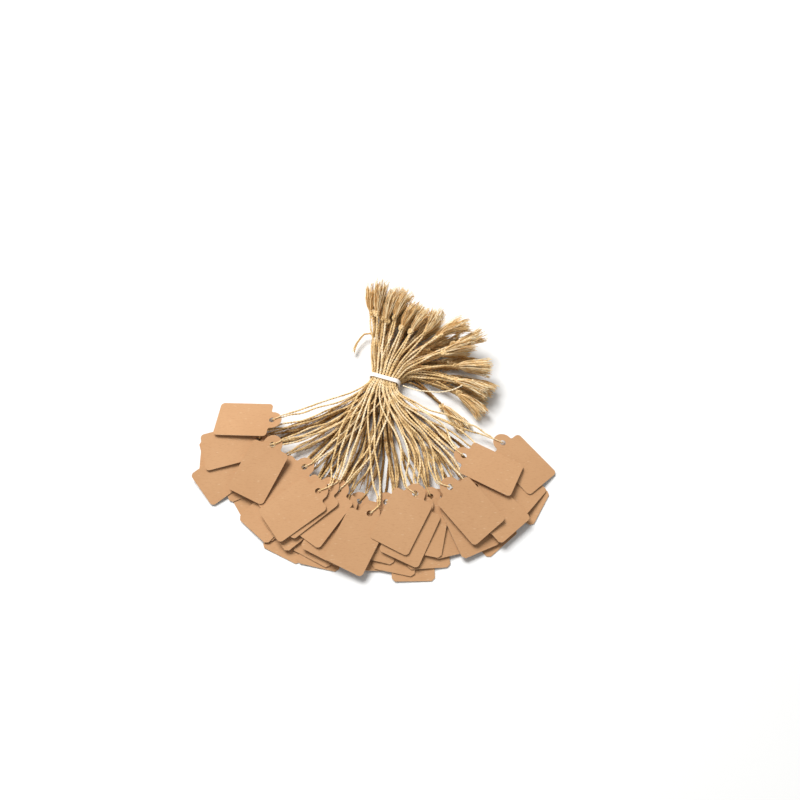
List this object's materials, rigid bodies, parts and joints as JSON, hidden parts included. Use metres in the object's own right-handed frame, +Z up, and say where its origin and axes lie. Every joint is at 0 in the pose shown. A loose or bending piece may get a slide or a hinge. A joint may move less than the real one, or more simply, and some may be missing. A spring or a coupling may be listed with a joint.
{
  "type": "bundle of kraft gift tags",
  "caption": "Bundle of blank kraft paper gift tags with a round punched tab, each looped on a knotted jute twine, all gathered by a white band and fanned out on a table.",
  "frame": {"origin": "middle of the band's flat underside, on the table", "axes": "+Z up from the table, -Y towards the fanned tags, +X to the right seen from the tags' side"},
  "size_m": [0.268, 0.2426, 0.0342],
  "materials": {
    "kraft_card": "matt",
    "jute_twine": "fibrous",
    "white_band": "satin"
  },
  "bodies": {
    "bundle": {"tie_band": "white_band", "under_tags_01": "kraft_card", "under_tags_02": "kraft_card", "under_tags_03": "kraft_card", "under_tags_04": "kraft_card", "under_tags_05": "kraft_card", "under_tags_06": "kraft_card", "under_tags_07": "kraft_card", "under_tags_08": "kraft_card", "under_tags_09": "kraft_card", "under_tags_10": "kraft_card", "under_tags_11": "kraft_card", "under_tags_12": "kraft_card", "twine_01": "jute_twine", "twine_02": "jute_twine", "twine_03": "jute_twine", "twine_04": "jute_twine", "twine_05": "jute_twine", "twine_06": "jute_twine", "twine_07": "jute_twine", "twine_08": "jute_twine", "twine_09": "jute_twine", "twine_10": "jute_twine", "twine_11": "jute_twine", "twine_12": "jute_twine", "twine_13": "jute_twine", "twine_14": "jute_twine", "twine_15": "jute_twine", "twine_16": "jute_twine", "under_twines_01": "jute_twine", "under_twines_02": "jute_twine", "under_twines_03": "jute_twine", "under_twines_04": "jute_twine", "under_twines_05": "jute_twine", "under_twines_06": "jute_twine", "under_twines_07": "jute_twine", "under_twines_08": "jute_twine", "under_twines_09": "jute_twine", "under_twines_10": "jute_twine", "under_twines_11": "jute_twine", "under_twines_12": "jute_twine"},
    "tag_01": {"tag_01": "kraft_card"},
    "tag_02": {"tag_02": "kraft_card"},
    "tag_03": {"tag_03": "kraft_card"},
    "tag_04": {"tag_04": "kraft_card"},
    "tag_05": {"tag_05": "kraft_card"},
    "tag_06": {"tag_06": "kraft_card"},
    "tag_07": {"tag_07": "kraft_card"},
    "tag_08": {"tag_08": "kraft_card"},
    "tag_09": {"tag_09": "kraft_card"},
    "tag_10": {"tag_10": "kraft_card"},
    "tag_11": {"tag_11": "kraft_card"},
    "tag_12": {"tag_12": "kraft_card"},
    "tag_13": {"tag_13": "kraft_card"},
    "tag_14": {"tag_14": "kraft_card"},
    "tag_15": {"tag_15": "kraft_card"},
    "tag_16": {"tag_16": "kraft_card"}
  },
  "joints": [
    {"name": "tag_01_swing", "type": "hinge", "parent": "bundle", "child": "tag_01", "pos_m": [-0.08441, -0.03758, 0.01281], "axis": [-0.0939, 0.1659, 0.9817], "range_deg": [-8, 8]},
    {"name": "tag_02_swing", "type": "hinge", "parent": "bundle", "child": "tag_02", "pos_m": [-0.09332, -0.05173, 0.01014], "axis": [-0.0701, -0.0483, 0.9964], "range_deg": [-8, 8]},
    {"name": "tag_03_swing", "type": "hinge", "parent": "bundle", "child": "tag_03", "pos_m": [-0.08187, -0.05948, 0.01542], "axis": [-0.0975, -0.1914, 0.9766], "range_deg": [-8, 8]},
    {"name": "tag_04_swing", "type": "hinge", "parent": "bundle", "child": "tag_04", "pos_m": [-0.09963, -0.0647, 0.00684], "axis": [-0.0255, -0.1309, 0.9911], "range_deg": [-8, 8]},
    {"name": "tag_05_swing", "type": "hinge", "parent": "bundle", "child": "tag_05", "pos_m": [-0.05824, -0.07455, 0.00936], "axis": [-0.0836, -0.0549, 0.995], "range_deg": [-8, 8]},
    {"name": "tag_06_swing", "type": "hinge", "parent": "bundle", "child": "tag_06", "pos_m": [-0.04677, -0.0959, 0.01483], "axis": [-0.1181, -0.1068, 0.9872], "range_deg": [-8, 8]},
    {"name": "tag_07_swing", "type": "hinge", "parent": "bundle", "child": "tag_07", "pos_m": [-0.03911, -0.09214, 0.01389], "axis": [-0.0955, -0.0872, 0.9916], "range_deg": [-8, 8]},
    {"name": "tag_08_swing", "type": "hinge", "parent": "bundle", "child": "tag_08", "pos_m": [-0.03223, -0.09361, 0.01221], "axis": [-0.0665, -0.0746, 0.995], "range_deg": [-8, 8]},
    {"name": "tag_09_swing", "type": "hinge", "parent": "bundle", "child": "tag_09", "pos_m": [-0.00978, -0.11177, 0.0119], "axis": [0.0323, -0.1369, 0.9901], "range_deg": [-8, 8]},
    {"name": "tag_10_swing", "type": "hinge", "parent": "bundle", "child": "tag_10", "pos_m": [0.02252, -0.09753, 0.0141], "axis": [0.0254, -0.1461, 0.9889], "range_deg": [-8, 8]},
    {"name": "tag_11_swing", "type": "hinge", "parent": "bundle", "child": "tag_11", "pos_m": [0.02819, -0.10519, 0.01082], "axis": [0.0258, -0.1323, 0.9909], "range_deg": [-8, 8]},
    {"name": "tag_12_swing", "type": "hinge", "parent": "bundle", "child": "tag_12", "pos_m": [0.04744, -0.09311, 0.01572], "axis": [0.0003, -0.1947, 0.9809], "range_deg": [-8, 8]},
    {"name": "tag_13_swing", "type": "hinge", "parent": "bundle", "child": "tag_13", "pos_m": [0.05845, -0.06724, 0.01307], "axis": [0.1398, 0.107, 0.9844], "range_deg": [-8, 8]},
    {"name": "tag_14_swing", "type": "hinge", "parent": "bundle", "child": "tag_14", "pos_m": [0.08863, -0.05325, 0.00613], "axis": [0.1425, 0.0321, 0.9893], "range_deg": [-8, 8]},
    {"name": "tag_15_swing", "type": "hinge", "parent": "bundle", "child": "tag_15", "pos_m": [0.07804, -0.07277, 0.00759], "axis": [0.1649, 0.0395, 0.9855], "range_deg": [-8, 8]},
    {"name": "tag_16_swing", "type": "hinge", "parent": "bundle", "child": "tag_16", "pos_m": [0.06595, -0.09077, 0.01098], "axis": [0.0653, -0.0751, 0.995], "range_deg": [-8, 8]}
  ]
}
